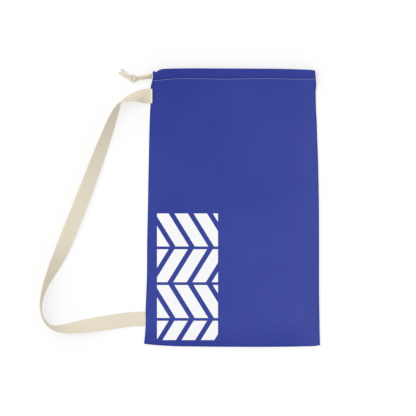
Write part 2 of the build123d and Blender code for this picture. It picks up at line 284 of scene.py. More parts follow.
def printed_cloth(name, motif):
    """Blue printed polyester, with or without the white motif. The blue is lighter towards the
    right and the base, and darker in a strip along the base. Painted shade darkens it on the seams'
    folds, and the hem is a little darker."""
    material, tree, shader, along, across = start_material(name, 0.82, 0.04, 0.5, 0.14)
    weave = plain_weave(tree, along, across, WEAVE)
    place = node(tree, "TexCoord").outputs["Object"]
    ink = node(tree, "TexNoise", {"Vector": place, "Scale": 5.0, "Detail": 3.0}).outputs[0]
    spot = node(tree, "SeparateXYZ", {0: place})
    x, y = spot.outputs[0], spot.outputs[1]
    # The blue is lighter towards the right and the base, and darker in a strip along the base.
    diagonal = calc(tree, "SUBTRACT", x, calc(tree, "MULTIPLY", y, 0.7))
    lighter = ramp(tree, diagonal, -0.42, 0.45, 0.0, 1.0)
    lighter = calc(tree, "MULTIPLY_ADD", calc(tree, "SUBTRACT", ink, 0.5), 0.9, lighter)
    lighter = calc(tree, "ADD", lighter, ramp(tree, x, 0.17, 0.235, 0.0, 0.45))
    lighter = calc(tree, "ADD", lighter, ramp(tree, y, -0.31, -0.372, 0.0, -0.55))
    colour = blend_colour(tree, lighter, srgb(46, 59, 143), srgb(62, 74, 155))
    if motif:
        colour = blend_colour(tree, motif_mask(tree), colour, (0.89, 0.89, 0.9, 1.0))
    # Painted shade on the seams' folds, and a darker hem, from the panel's point attribute.
    edge = node(tree, "Attribute", attribute_name="seam_shade_and_hem_darkening").outputs["Fac"]
    colour = blend_colour(tree, edge, colour, srgb(38, 47, 134))
    shade = calc(tree, "MULTIPLY_ADD", weave, 0.09, 0.93)
    grey = node(tree, "CombineColor", {0: shade, 1: shade, 2: shade}).outputs[0]
    colour = blend_colour(tree, 1.0, colour, grey, "MULTIPLY")
    add_looks(tree, shader, colour, weave, 0.00012, 0.5)
    return material


def raw_cloth(name):
    """The cloth's white inner face."""
    material, tree, shader, along, across = start_material(name, 0.85, 0.1)
    weave = plain_weave(tree, along, across, WEAVE)
    colour = blend_colour(tree, weave, srgb(214, 208, 192), srgb(244, 240, 226))
    add_looks(tree, shader, colour, weave, 0.00012, 0.5)
    return material


front_finish = printed_cloth("printed_cloth_with_motif", True)
back_finish = printed_cloth("printed_cloth", False)
inside_finish = raw_cloth("raw_cloth")
print("cloth finishes:", front_finish.name, back_finish.name, inside_finish.name)

# %% [markdown]
# ### Cotton
#
# Webbing and cord are unbleached cotton: cream, matt and slightly fuzzy, with darker flecks.
# The webbing has ribs along it, crossed by fine weft threads. The cord is braided, so its yarns
# run in two sets of slanting lines. Sewing thread is smoother and has a tight twist.
# %% Webbing, cord and thread
RIB = 0.0019               # pitch of the webbing's ribs
CREAM = (0.9, 0.08, 0.6, 0.16)             # roughness, sheen, its roughness and the highlight
# Painted shade of the slit on the cord, in the object's X: where it starts, then where it ends.
SLIT_SHADE_LIMITS = [(-0.2235, -0.2185, 0.0, 0.8), (-0.212, -0.207, 1.0, 0.0)]    # X and share: in, then out


def flecks(tree, along, across, scale):
    """Uneven cotton: noise over the pattern coordinates, stretched along the yarns."""
    vector = node(tree, "CombineXYZ", {0: calc(tree, "MULTIPLY", along, 0.25), 1: across})
    inputs = {"Vector": vector.outputs[0], "Scale": scale, "Detail": 4.0}
    return node(tree, "TexNoise", inputs).outputs[0]


def webbing_finish(name):
    """Ribbed cotton webbing with a slanting weave between the ribs."""
    material, tree, shader, along, across = start_material(name, *CREAM)
    rib = waves(tree, across, RIB)
    pair = calc(tree, "FRACT", calc(tree, "DIVIDE", across, 2 * RIB))
    from_middle = calc(tree, "ABSOLUTE", calc(tree, "SUBTRACT", pair, 0.5))
    slant = calc(tree, "MULTIPLY_ADD", from_middle, 0.004, along)
    twill = waves(tree, slant, 0.0011)
    uneven = flecks(tree, along, across, 900.0)
    height = calc(tree, "MULTIPLY_ADD", twill, 0.5, rib)
    # Painted shade makes the grooves between the ribs and the weave darker; the flecks are the
    # cotton's own uneven tone.
    tone = calc(tree, "MULTIPLY_ADD", height, 0.3, calc(tree, "MULTIPLY", uneven, 0.9))
    colour = blend_colour(tree, tone, srgb(198, 188, 164), srgb(233, 225, 206))
    add_looks(tree, shader, colour, height, 0.00025, 0.6)
    return material


def cord_finish(name):
    """Braided cotton: two sets of yarns that slant opposite ways round the cord. A painted brown
    shade darkens it over a few mm at the slit, between limits in the object's own X."""
    material, tree, shader, along, across = start_material(name, *CREAM)
    one = waves(tree, calc(tree, "ADD", along, across), 0.0016)
    other = waves(tree, calc(tree, "SUBTRACT", along, across), 0.0016)
    height = calc(tree, "MAXIMUM", one, other)
    uneven = flecks(tree, along, across, 700.0)
    tone = calc(tree, "MULTIPLY_ADD", height, 0.35, calc(tree, "MULTIPLY", uneven, 0.8))
    colour = blend_colour(tree, tone, srgb(190, 182, 157), srgb(234, 227, 208))
    place = node(tree, "SeparateXYZ", {0: node(tree, "TexCoord").outputs["Object"]}).outputs[0]
    # Painted shade of the slit, warm from the cloth round it: the cord turns brown where it goes
    # in.
    slit_shade = calc(tree, "MULTIPLY", *[ramp(tree, place, *limits) for limits in SLIT_SHADE_LIMITS])
    colour = blend_colour(tree, slit_shade, colour, srgb(178, 146, 96))
    add_looks(tree, shader, colour, height, 0.00025, 0.7)
    return material


def thread_finish(name, low, high):
    """Twisted sewing thread."""
    material, tree, shader, along, across = start_material(name, 0.55, 0.3, 0.4, 0.4)
    twist = waves(tree, calc(tree, "ADD", along, across), 0.0005)
    add_looks(tree, shader, blend_colour(tree, twist, low, high), twist, 0.00008, 0.6)
    return material


webbing_cotton = webbing_finish("cotton_webbing")
cord_cotton = cord_finish("cotton_cord")
hem_thread = thread_finish("hem_thread", srgb(176, 182, 214), srgb(222, 226, 244))
strap_thread = thread_finish("strap_thread", srgb(206, 197, 170), srgb(240, 234, 215))
print("cotton finishes:", webbing_cotton.name, cord_cotton.name, hem_thread.name)

# %% [markdown]
# ## The drawstring
#
# One cotton cord, 6 mm thick, goes in at the slit, along the front hem, round the closed end
# and back along the back hem. Outside, its two ends lie side by side, are tied in one overhand
# knot and stop in bare tails. Each free end is a smooth spline through the route's points, and
# the braid is a tube that follows the points read from that spline. A bevelled curve would be
# quicker, but then the braid's yarns would not stand out of its surface.
# %% Routes of the two free ends
CORD = 6.0                 # cord diameter in mm
KNOT = np.array([-269.0, 350.5, 8.3])
FRONT_STRAND = [(-200, 359.5, 16.3), (-224, 359.4, 16.3), (-236, 356.9, 12.8),
                (-247, 354.9, 9.6), (-257.5, 353.0, 8.6)]
BACK_STRAND = [(-200, 353.5, 3.7), (-224, 353.2, 3.7), (-236, 350.7, 4.9),
               (-247, 348.7, 6.2), (-257.5, 346.9, 6.8)]
FRONT_TAIL = [(-284.5, 359.6, 8.0), (-291.5, 366, 5.2), (-298, 372, 3.4), (-300.5, 375.8, 3.2)]
BACK_TAIL = [(-287, 353.4, 6.8), (-295.5, 359.2, 4.6), (-302, 363.6, 3.3), (-306.5, 366, 3.2)]
# Middle of the doubled cord round the knot, from its centre, and the way its two cords lie apart.
KNOT_TURNS = [((3.5, -4.5, 1.5), (0.0, 1.0, 0.2)), ((-4.5, -5.0, 1.5), (0.1, 0.8, 0.6)),
              ((-9.5, -1.0, 0.0), (0.15, 0.1, 1.0)), ((-7.0, 5.5, -1.5), (0.1, -0.1, 1.0)),
              ((0.0, 7.5, -0.5), (0.0, -0.2, 1.0)), ((6.5, 4.0, 2.5), (-0.3, -0.3, 0.9)),
              ((8.0, -3.5, 4.5), (-0.5, 0.1, 0.9)), ((4.5, -8.5, 1.0), (-0.3, 0.5, 0.8)),
              ((-0.5, -4.5, -2.2), (0.3, 0.7, 0.6)), ((-4.0, 0.5, -2.0), (0.5, 0.7, 0.4)),
              ((-9.5, 3.5, 3.0), (0.4, 0.9, 0.2))]


def through_knot(side):
    """Points of one cord in the knot: the middle line, moved half a cord to its own side."""
    middle = np.array([turn[0] for turn in KNOT_TURNS]) + KNOT
    apart = unit(np.array([turn[1] for turn in KNOT_TURNS]))
    return middle + apart * side * CORD * 0.46


front_route = np.vstack([FRONT_STRAND, through_knot(1), FRONT_TAIL]) * MM
back_route = np.vstack([BACK_STRAND, through_knot(-1), BACK_TAIL]) * MM
casing_route = np.array([(-200, 359.5, 16.3), (206, 359.5, 16.3), (219.4, 359.5, 16.3),
                         (219.4, 353.5, 3.7), (206, 353.5, 3.7), (-200, 353.5, 3.7)]) * MM
print("points on the routes:", len(front_route), len(back_route), len(casing_route))

# %% Splines and braided tubes
BRAID_PITCH = 0.0034       # length in which the braid's pattern repeats twice
BRAID_RELIEF = 0.05        # height of the braid as a share of the radius
DOME = 0.0014              # length over which a cut end rounds off


def spline_points(route, step):
    """Evenly spaced points of the NURBS spline of order 3 that a route's points control."""
    curve = bpy.data.curves.new("route", "CURVE")
    curve.dimensions = "3D"
    curve.resolution_u = 32
    spline = curve.splines.new("NURBS")
    spline.points.add(len(route) - 1)
    spline.points.foreach_set("co", np.c_[route, np.ones(len(route))].ravel())
    spline.order_u = 3
    spline.use_endpoint_u = True
    holder = bpy.data.objects.new("route", curve)
    line = bpy.data.meshes.new_from_object(holder)
    points = np.zeros(len(line.vertices) * 3)
    line.vertices.foreach_get("co", points)
    points = points.reshape(-1, 3)
    bpy.data.objects.remove(holder)
    bpy.data.meshes.remove(line)
    gone = gone_along(points)
    at = np.linspace(0, gone[-1], max(int(gone[-1] / step), 8))
    return np.stack([np.interp(at, gone, points[:, k]) for k in range(3)], axis=1), at


def braided_tube(name, route, step, sides, up, thin=None):
    """Tube round a spline: point = line + r (across cos a + over sin a), where the radius r has
    the braid's relief, cos(6a + kx) cos(6a - kx), and closes in a dome at both ends."""
    line, at = spline_points(route, step)
    tangent = unit(np.gradient(line, axis=0))
    across = unit(np.cross(np.array(up, float), tangent))
    over = np.cross(tangent, across)
    angle = np.arange(sides) * 2 * np.pi / sides
    radius = CORD * MM / 2 * (thin(line)[:, None] if thin else np.ones((len(at), 1)))
    a, s = 6 * angle[None, :], 2 * np.pi / BRAID_PITCH * at[:, None]
    relief = 1 + BRAID_RELIEF * np.cos(a + s) * np.cos(a - s)
    end = np.minimum(at, at[-1] - at) / DOME
    dome = np.sqrt(np.clip(1 - (1 - np.clip(end, 0.04, 1)) ** 2, 0, 1))
    ring = across[:, None] * np.cos(angle)[:, None] + over[:, None] * np.sin(angle)[:, None]
    points = line[:, None] + ring * (radius * relief * dome[:, None])[..., None]
    around = np.arange(sides + 1) * np.pi * CORD * MM / sides
    piece = tube_object(name, points, at, around, cord_cotton)
    print(f"{name}: {at[-1] * 1000:.0f} mm long, {len(piece.data.polygons)} faces")
    return piece, line, float(at[-1])


def pulled_tight(line):
    """Cords are squeezed where the knot holds them."""
    far = np.linalg.norm(line - KNOT * MM, axis=1) / MM
    return 0.86 + 0.14 * ease((far - 9) / 6)


# %% Drawstring pieces
front_cord, front_line, front_length = braided_tube(
    "drawstring_front_cord", front_route, 0.0006, 36, (0, 0, 1), pulled_tight)
back_cord, back_line, back_length = braided_tube(
    "drawstring_back_cord", back_route, 0.0006, 36, (0, 0, 1), pulled_tight)
casing_cord, _, _ = braided_tube(
    "drawstring_hem_cord", casing_route, 0.001, 24, (0, 1, 0.02))
for piece in (front_cord, back_cord, casing_cord):
    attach(piece, "drawstring")
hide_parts("drawstring_front_strand", "drawstring_front_tail", "drawstring_knot")
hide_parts("drawstring_back_strand", "drawstring_back_tail")
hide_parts("drawstring_in_hem")

# %% [markdown]
# ## The two panels
#
# Each panel is one piece of cloth: it turns in at the side and base seams as an allowance 8 mm
# wide, runs up to the hem's stitching, goes round the cord and the fold at the mouth, and comes
# back under the stitching. The grid follows it all the way, so the seams and the fold are real
# bends of one sheet. Its edges are slightly uneven lines, measured in mm, as on a sewn bag.
# A cloth simulation would also settle such a sheet, but a formula keeps it inside the CAD shape.
# %% Outline of the bag
# Each table holds a position along the edge and the edge's place there, in mm.
LEFT_EDGE = [(-372, -238.6), (-366, -238.1), (-346, -236.0), (-333, -235.0), (-306, -233.6),
             (-279, -234.2), (-252, -233.2), (-197, -231.0), (-89, -229.8), (-35, -228.7),
             (20, -227.6), (74, -226.6), (128, -225.5), (182, -224.4), (236, -223.0),
             (263, -222.0), (282, -220.6), (305, -220.2), (322, -220.4), (329, -220.0),
             (334, -218.9), (339, -217.0), (345, -215.4), (350, -214.6), (356, -214.4),
             (366, -214.8), (378, -215.6)]
RIGHT_EDGE = [(-374, 238.6), (-366, 238.3), (-306, 237.1), (-251, 236.2), (-89, 235.9),
              (20, 235.4), (74, 234.4), (128, 233.2), (182, 231.2), (236, 229.4), (263, 227.9),
              (282, 227.4), (323, 227.6), (331, 228.5), (338, 228.0), (345, 227.3),
              (355, 226.4), (364, 225.6), (378, 224.0)]
BASE_EDGE = [(-239, -368.6), (-229, -370.0), (-221, -371.0), (-194, -373.2), (-167, -374.8),
             (-85, -376.4), (23, -377.2), (77, -377.3), (131, -377.0), (186, -376.1),
             (229, -374.2), (239, -372.6)]
STITCH_LINE = [(-216, 343.6), (-205, 344.6), (-194, 345.8), (-183, 346.8), (-161, 348.9),
               (-120, 349.4), (-75, 349.3), (-31, 348.1), (10, 348.6), (66, 349.6), (120, 349.3),
               (175, 348.0), (228, 348.2)]
MOUTH_EDGE = [(-216, 366.4), (-213.3, 368.8), (-209, 369.2), (-205.4, 367.0), (-201.9, 369.4),
              (-199.4, 371.2), (-195.9, 373.2), (-193, 374.4), (-184, 375.6), (-169, 376.3),
              (-140, 376.9), (-31, 376.8), (23, 376.6), (131, 375.7), (186, 374.2), (213, 373.0),
              (226, 371.4)]
width_at_mouth = follow(RIGHT_EDGE, 348.0) - follow(LEFT_EDGE, 348.0)
print("width at the stitching:", round(float(width_at_mouth), 1), "mm")

# %% Grid lines of a panel
FOLD = 0.62                # radius of the fold at a seam, mm
EDGE_STEPS = np.array([-8, -6.5, -5, -3.5, -2.2, -0.97, -0.65, -0.32, 0, 0.32, 0.65, 0.97, 1.6,
                       2.4, 3.4, 4.6, 6, 7.5, 9.2, 11, 13, 15, 17.5, 20, 23, 26, 30, 35, 41, 48,
                       56, 64, 70.0])
MIDDLE_STEP = 4.2


def turn_in(step):
    """Where a point lies that is `step` along the cloth from a folded seam: its distance from
    the fold, and the share of the way round from the allowance (0) to the outer face (1)."""
    angle = np.clip(step / FOLD, -np.pi / 2, np.pi / 2)
    beyond = np.clip(np.abs(step) - FOLD * np.pi / 2, 0, None)
    return FOLD * (1 - np.cos(angle)) + beyond, (1 + np.sin(angle)) / 2


def grid_lines(length, both_ends):
    """Share of the length, offset from it in mm, and share round the fold, for each line."""
    away, turned = turn_in(EDGE_STEPS)
    count = int((length - 2 * away[-1]) / MIDDLE_STEP)
    share = np.linspace(0, 1, count + 1)[1:-1 if both_ends else None]
    offset = away[-1] * ((1 - 2 * share) if both_ends else (1 - share))
    parts = [(np.zeros_like(away), away, turned), (share, offset, np.ones_like(share))]
    if both_ends:
        parts.append((np.ones_like(away), -away[::-1], turned[::-1]))
    return [np.concatenate(column) for column in zip(*parts)]


ACROSS, ACROSS_OFFSET, ACROSS_TURN = grid_lines(460, True)
UPWARD, UPWARD_OFFSET, UPWARD_TURN = grid_lines(725, False)
print("grid:", len(UPWARD), "rows by", len(ACROSS), "columns")

# %% [markdown]
# ### How the front panel rises
#
# The front panel starts at the seams, just above the back one, and rises over the bag's slack.
# The rise is 1 - (1 - q)^2.3 of the full height, where q is the distance from the seam as a
# share of the slope's width. Low waves, puckers beside the strap and a pressed place under the
# strap's sewn end are added to it.
# %% Height of the front panel
CLOTH = 0.6
SEAM_HEIGHT = 1.25         # the front panel's allowance over the table
PANEL_TOP = 14.0
SLOPE_WIDTH = 70.0
STITCH_HEIGHT = 14.9       # outer face of the front panel at the hem's stitching
CLOSED_END = 12.0          # length over which the hem rounds down to the right seam
LAYERS = 0.26              # share of the hem's height that the layers at the seam still take
MID_HEIGHT = 10.0          # height of the right seam at the hem
STRAP_UPPER_Y, STRAP_LOWER_Y = 302.5, -301.5


def bump_at(x, y, at, wide, tall):
    """Bell shape round a place."""
    return np.exp(-((x - at[0]) / wide) ** 2 - ((y - at[1]) / tall) ** 2)


def soft_waves(x, y):
    """Broad, low waves of cloth that has lain folded."""
    wave = 0.45 * np.sin(x / 41 + y / 63 + 0.6) + 0.32 * np.sin(x / 27 - y / 88 + 2.1)
    wave += 0.28 * np.sin(x / 96 - y / 31 + 4.0) + 0.16 * np.sin(x / 15 + y / 52)
    wave += 0.5 * bump_at(x, y, (30, 190), 60, 90) - 0.5 * bump_at(x, y, (-110, 250), 50, 60)
    return wave


def puckers(x, y):
    """Small gathers beside the strap's sewn ends and at the top of the right seam."""
    upright = np.sin(x / 1.55 + 0.4 * np.sin(y / 9)) * bump_at(x, y, (-201, 312), 12, 30)
    lower = np.sin(y / 2.1) * bump_at(x, y, (-222, -301), 8, 22)
    right = np.sin((y + 0.6 * x) / 1.7) * bump_at(x, y, (219, 330), 9, 13)
    along_hem = np.sin(x / 3.4 + np.sin(x / 23)) * ease((y - 326) / 20)
    return 0.75 * upright + 0.4 * lower + 0.5 * right + 0.1 * along_hem


def closing(from_right):
    """Quarter ellipse up to 1 from the right seam, but never less than the stacked layers."""
    return np.maximum(LAYERS, np.sqrt(1 - (1 - np.clip(from_right / CLOSED_END, 0, 1)) ** 2))


def near_strap_end(x, y):
    """1 under the strap's upper sewn end, falling to 0 round it."""
    return ease((-199 - x) / 15) * ease((37 - np.abs(y - STRAP_UPPER_Y)) / 16)


def over_strap_end(x, y):
    """1 over the strap's lower sewn end, which lies in the seam."""
    return ease((-210 - x) / 12) * ease((27 - np.abs(y - STRAP_LOWER_Y)) / 6.5)


def to_mouth(y, stitch, reach):
    """0 until `reach` below the hem's stitching, then rising smoothly to 1 on it."""
    return ease((y - stitch + reach) / reach)


def front_height(x, y, turned, left, right, base, stitch):
    """Outer face of the front panel over the table, in mm."""
    slope = 12 + (SLOPE_WIDTH - 12) * ease((stitch - y) / 60)
    q_side = np.clip(np.minimum(x - left, right - x) / slope, 0, 1)
    q_base = np.clip((y - base) / SLOPE_WIDTH, 0, 1)
    rise = (1 - (1 - q_side) ** 2.3) * (1 - (1 - q_base) ** 2.3)
    foot = SEAM_HEIGHT + 2.2 * over_strap_end(x, y)
    top = foot + 2 * FOLD + (PANEL_TOP - foot - 2 * FOLD) * rise
    top += (soft_waves(x, y) + puckers(x, y)) * np.clip(rise * 2.5, 0, 1)
    press = near_strap_end(x, y)
    top = top * (1 - press) + np.minimum(top, 2.85) * press
    at_hem = MID_HEIGHT + (STITCH_HEIGHT - MID_HEIGHT) * closing(right - x)
    mouth = to_mouth(y, stitch, 22)
    outer = top * (1 - mouth) + at_hem * mouth
    inner = foot * (1 - mouth) + (at_hem - 2 * FOLD) * mouth
    return inner + (outer - inner) * turned


def back_height(x, y, turned, left, right, base, stitch):
    """Outer face of the back panel, which lies on the table."""
    lift = (MID_HEIGHT - 0.05) * to_mouth(y, stitch, 22)
    lifted = lift * (1 - closing(right - x))
    at_stitch = 0.9 * ease((y - stitch + 6) / 6)
    ripple = 0.15 * (1 + np.sin(x / 19 + y / 37)) * np.clip((x - left) / 40, 0, 1)
    ripple *= np.clip((right - x) / 40, 0, 1) * np.clip((y - base) / 40, 0, 1)
    return np.maximum(lifted, at_stitch) + ripple + (SEAM_HEIGHT - 0.06) * (1 - turned)


print("front panel's full height:", PANEL_TOP, "mm")

# %% [markdown]
# ### The hem's section
#
# Each hem is a line of points round its tunnel, given as a share of the hem's depth and a
# height. The cord makes the hem thick near the stitching, and the rest lies flatter. At the left
# the tunnel opens out for the cord; at the right both hems round down to one closed seam.
# %% Hem sections
FRONT_HEM = np.array([
    (0.02, 15.2), (0.05, 15.9), (0.085, 16.9), (0.13, 18.1), (0.19, 19.1), (0.26, 19.75),
    (0.34, 20.05), (0.41, 20.1), (0.48, 19.8), (0.55, 19.2), (0.62, 18.75), (0.70, 18.5),
    (0.78, 18.45), (0.85, 18.3), (0.91, 17.95), (0.955, 17.4), (0.985, 16.7), (1.0, 15.9),
    (0.985, 15.1), (0.955, 14.5), (0.91, 14.1), (0.85, 13.8), (0.78, 13.5), (0.70, 13.2),
    (0.62, 12.9), (0.55, 12.7), (0.48, 12.55), (0.41, 12.5), (0.34, 12.5), (0.26, 12.6),
    (0.19, 12.8), (0.13, 13.0), (0.08, 13.2), (0.03, 13.45), (0.0, 13.6), (-0.04, 13.55),
    (-0.09, 13.5), (-0.15, 13.4)])
BACK_HEM = np.array([
    (0.02, 0.6), (0.05, 0.35), (0.09, 0.15), (0.14, 0.04), (0.2, 0.0), (0.28, 0.0), (0.36, 0.0),
    (0.45, 0.0), (0.55, 0.0), (0.65, 0.0), (0.75, 0.05), (0.84, 0.15), (0.91, 0.4), (0.955, 0.85),
    (0.985, 1.5), (1.0, 2.2), (0.985, 2.9), (0.955, 3.4), (0.91, 3.75), (0.84, 4.1),
    (0.75, 4.5), (0.65, 5.1), (0.55, 5.9), (0.45, 6.8), (0.36, 7.4), (0.28, 7.6), (0.2, 7.55),
    (0.14, 7.3), (0.1, 6.4), (0.07, 4.9), (0.04, 3.4), (0.015, 2.5), (-0.02, 2.2), (-0.06, 2.1),
    (-0.1, 2.05), (-0.15, 2.0)])
CORD_ROOM = 3.8            # distance kept from the cord's middle line to the hem's outer face
FLARE = 0.9                # what is added to it at the slit
UNDER_LAYER_CUT = 3.5      # how far the turned-in edge stops short of the side seams
UNDER_LAYER_DROP = 0.45    # how far the turned-in layer lies from the outer one at the closed end


def hem_points(section, x_share, x_offset, inset=0.0):
    """Points round a hem for each column, in mm, moved towards the tunnel by `inset`. Where the
    section comes too near the cord it follows a circle round it, but never below the table."""
    share, height = section[:, 0][:, None], section[:, 1][:, None]
    middle = section[:, 1].min() / 2 + section[:, 1].max() / 2
    x = np.zeros((len(section), len(x_share)))
    y = np.full_like(x, 360.0)
    for _ in range(6):
        left, right = follow(LEFT_EDGE, y), follow(RIGHT_EDGE, y)
        x = left + x_share * (right - left) + x_offset
        x = x + UNDER_LAYER_CUT * (share < 0.01) * (1 - 2 * x_share)
        stitch = follow(STITCH_LINE, x)
        y = stitch + share * (follow(MOUTH_EDGE, x) - stitch)
    front = section[:, 1].max() > 12
    flare = ease(1 - (x + 212) / 16) * ease(share * 6) * ease((1.05 - share) * 6)
    z = height + 1.2 * flare * np.sign(height - middle) * (height > 1)
    z = z + 0.22 * np.sin(x / 17 + 5 * share) * ease((share - 0.5) * 4) * front
    cord_y, cord_z = (359.5, 16.3) if front else (353.5, 3.7)
    room = np.sqrt(np.clip((CORD_ROOM + FLARE * flare) ** 2 - (y - cord_y) ** 2, 0, None))
    over_cord = np.maximum(z, cord_z + room)
    under_cord = np.maximum(np.minimum(z, cord_z - room), 0)
    z = np.where(room > 0, np.where(height > middle, over_cord, under_cord), z)
    depth = np.gradient(y, axis=0)
    drop = np.gradient(z, axis=0)
    length = np.hypot(depth, drop) * (1 if front else -1)
    y, z = y - inset * -drop / length, z - inset * depth / length
    closed = closing(right - x)
    under = (height < middle) if front else (height > middle)
    apart = UNDER_LAYER_DROP * (1 - closed) * under * (1 if front else -1)
    z = MID_HEIGHT + (z - MID_HEIGHT) * closed - apart
    return np.stack([x, y, z], axis=-1)


print("hem sections:", len(FRONT_HEM), "and", len(BACK_HEM), "points")

# %% Make a panel
def panel_points(height, section):
    """One sheet: rows up the panel, then round the hem; columns across, allowances included."""
    share, offset = ACROSS[None], ACROSS_OFFSET[None]
    up, up_offset = UPWARD[:, None], UPWARD_OFFSET[:, None]
    x = np.zeros((len(UPWARD), len(ACROSS)))
    y = up * 720 - 372 + x
    for _ in range(8):
        left, right = follow(LEFT_EDGE, y), follow(RIGHT_EDGE, y)
        x = left + share * (right - left) + offset
        base, stitch = follow(BASE_EDGE, x), follow(STITCH_LINE, x)
        y = base + up * (stitch - base) + up_offset
    turned = ACROSS_TURN[None] * UPWARD_TURN[:, None]
    z = height(x, y, turned, left, right, base, stitch)
    hem = hem_points(section, ACROSS, ACROSS_OFFSET)
    return np.concatenate([np.stack([x, y, z], axis=-1), hem])


def seam_shade_and_hem_darkening_share(points):
    """Share of the darker blue: painted shade of 0.75 at a seam's fold, falling to 0 in 4.2 mm,
    and 0.3 all over the hem.
    """
    x, y = points[..., 0], points[..., 1]
    from_edge = np.minimum(x - follow(LEFT_EDGE, y), follow(RIGHT_EDGE, y) - x)
    from_edge = np.minimum(from_edge, y - follow(BASE_EDGE, x))
    share = 0.75 * ease(1 - from_edge / 4.2)
    share[len(UPWARD):] = np.maximum(share[len(UPWARD):], 0.3)
    return share


def make_panel(name, height, section, finish, outward):
    """Mesh of one sheet. The hem's faces start and end between the two side folds."""
    points = panel_points(height, section)
    rows, columns = points.shape[:2]
    faces = grid_faces(rows, columns)
    row, column = faces[:, 0] // columns, faces[:, 0] % columns
    outer = np.flatnonzero(np.diff((ACROSS_TURN >= 0.5).astype(int)))
    kept = (row < len(UPWARD) - 1) | ((column > outer[0]) & (column < outer[-1]))
    faces = faces[kept]
    # Lengths along the cloth make the pattern coordinates.
    along = np.concatenate([np.zeros((1, columns)),
                            np.cumsum(np.linalg.norm(np.diff(points, axis=0), axis=-1), axis=0)])
    uv = np.stack([points[..., 0], along], axis=-1).reshape(-1, 2) * MM
    used, renumbered = np.unique(faces, return_inverse=True)
    faces = renumbered.reshape(faces.shape)
    faces = faces if outward else faces[:, ::-1]
    piece = mesh_object(name, points.reshape(-1, 3)[used] * MM, faces, uv[used][faces.ravel()])
    # Painted shade along the seams' folds, and a darker hem, kept as a point attribute.
    fold = piece.data.attributes.new("seam_shade_and_hem_darkening", "FLOAT", "POINT")
    fold.data.foreach_set("value", seam_shade_and_hem_darkening_share(points).reshape(-1)[used].astype(np.float32))
    piece.data.materials.append(finish)
    piece.data.materials.append(inside_finish)
    thicken(piece, CLOTH).material_offset = 1
    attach(piece, "bag")
    corner = points.reshape(-1, 3)[used][faces] * MM
    diagonals = corner[:, 2] - corner[:, 0], corner[:, 3] - corner[:, 1]
    area = 0.5 * np.linalg.norm(np.cross(*diagonals), axis=1).sum()
    print(f"{name}: {len(faces)} faces, {area:.3f} square metres of cloth")
    return piece


front_cloth = make_panel("front_cloth", front_height, FRONT_HEM, front_finish, True)
back_cloth = make_panel("back_cloth", back_height, BACK_HEM, back_finish, False)
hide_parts("front_panel")
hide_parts("back_panel")

# %% [markdown]
# ### The slit's white edge
#
# At the slit the cloth's raw edge is turned so that its white inner face shows as a narrow rim
# round the cord. It is a short sleeve just inside the hem, whose free edge bows outwards.
# %% Slit edges
SLEEVE_COLUMNS = 12
SLEEVE_LENGTH, SLEEVE_INSET, SLEEVE_CLOTH = 6.0, 0.7, 0.4      # mm


def slit_edge(name, section, finish):
    """Sleeve inside the hem's open end: the hem's section moved in, on a few short columns."""
    inside = section[(section[:, 0] > 0.07) & (section[:, 1] > 0.7)]
    inward = np.linspace(0, 1, SLEEVE_COLUMNS)
    columns = hem_points(inside, 0 * inward, inward * SLEEVE_LENGTH, SLEEVE_INSET)
    share = np.clip(inside[:, 0], 0, 1)[:, None]
    bow = 3.4 * (1 - (2 * share - 1) ** 2) - 0.3
    columns[..., 0] -= bow * (1 - inward) ** 2
    gone = gone_along(columns[:, 0, 1:])
    uv = np.stack([columns[..., 0], gone[:, None] + 0 * columns[..., 0]], -1).reshape(-1, 2) * MM
    faces = grid_faces(len(inside), SLEEVE_COLUMNS)
    if section is BACK_HEM:
        faces = faces[:, ::-1]
    piece = mesh_object(name, columns * MM, faces, uv[faces.ravel()])
    piece.data.materials.append(finish)
    thicken(piece, SLEEVE_CLOTH)
    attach(piece, "bag")
    print(f"{name}: {len(faces)} faces")
    return piece


front_slit = slit_edge("front_slit_edge", FRONT_HEM, inside_finish)
back_slit = slit_edge("back_slit_edge", BACK_HEM, inside_finish)

# %% [markdown]
# ## The shoulder strap
#
# The webbing is 39 mm wide and 2.4 mm thick. It leaves the bag flat, turns on to its edge, shows
# its other face along the far side, and lies down flat again at the lower end. Its section is
# carried along the route, and leans with it. Ribs run along both faces. One mesh goes from sewn
# end to sewn end; its route is measured from the line where the CAD strap is hinged.
# %% Route of the strap
WEBBING_WIDTH, WEBBING = 39.0, 2.4
HINGE_X = -245.0
STRAP_BASE = 0.7           # height of the webbing's lowest edge where the strap rests
RIB_DEPTH = 0.13
# X from the hinge line, Y, and lean in degrees.
STRAP_ROUTE = np.array([
    (-3, 302.5, 0), (-7, 301.9, 4), (-11, 301.2, 14), (-15.5, 300.4, 26), (-20.5, 299.3, 37),
    (-26.5, 298, 48), (-33.5, 296.2, 58), (-41, 293, 67), (-48.5, 288.8, 78),
    (-55.5, 282.8, 90), (-62.2, 274.4, 102), (-68, 263.6, 111), (-73.4, 251.5, 118),
    (-80, 235.5, 125), (-89.6, 209.2, 134), (-99.8, 182, 141), (-110, 155, 148),
    (-129.6, 103, 158), (-150.4, 48, 165), (-172, -7.5, 170), (-193.4, -61, 171),
    (-210.2, -102, 165), (-222, -130, 154), (-233.2, -154, 141), (-244, -176, 128),
    (-254.4, -198, 116), (-263.4, -221.5, 106), (-269.4, -243.5, 99), (-272.2, -263, 95),
    (-271, -281.5, 92), (-266.2, -298, 92), (-258.4, -311.5, 94), (-247.8, -321.2, 98),
    (-235.2, -325.8, 107), (-220.6, -327.6, 117), (-205.8, -327.4, 127), (-192, -326, 135),
    (-178, -324.3, 142), (-164, -322.2, 149), (-145, -319.2, 157), (-121, -315.6, 165),
    (-93, -311.4, 172), (-63, -307, 177), (-31, -303, 180), (-3, -301.5, 180)])
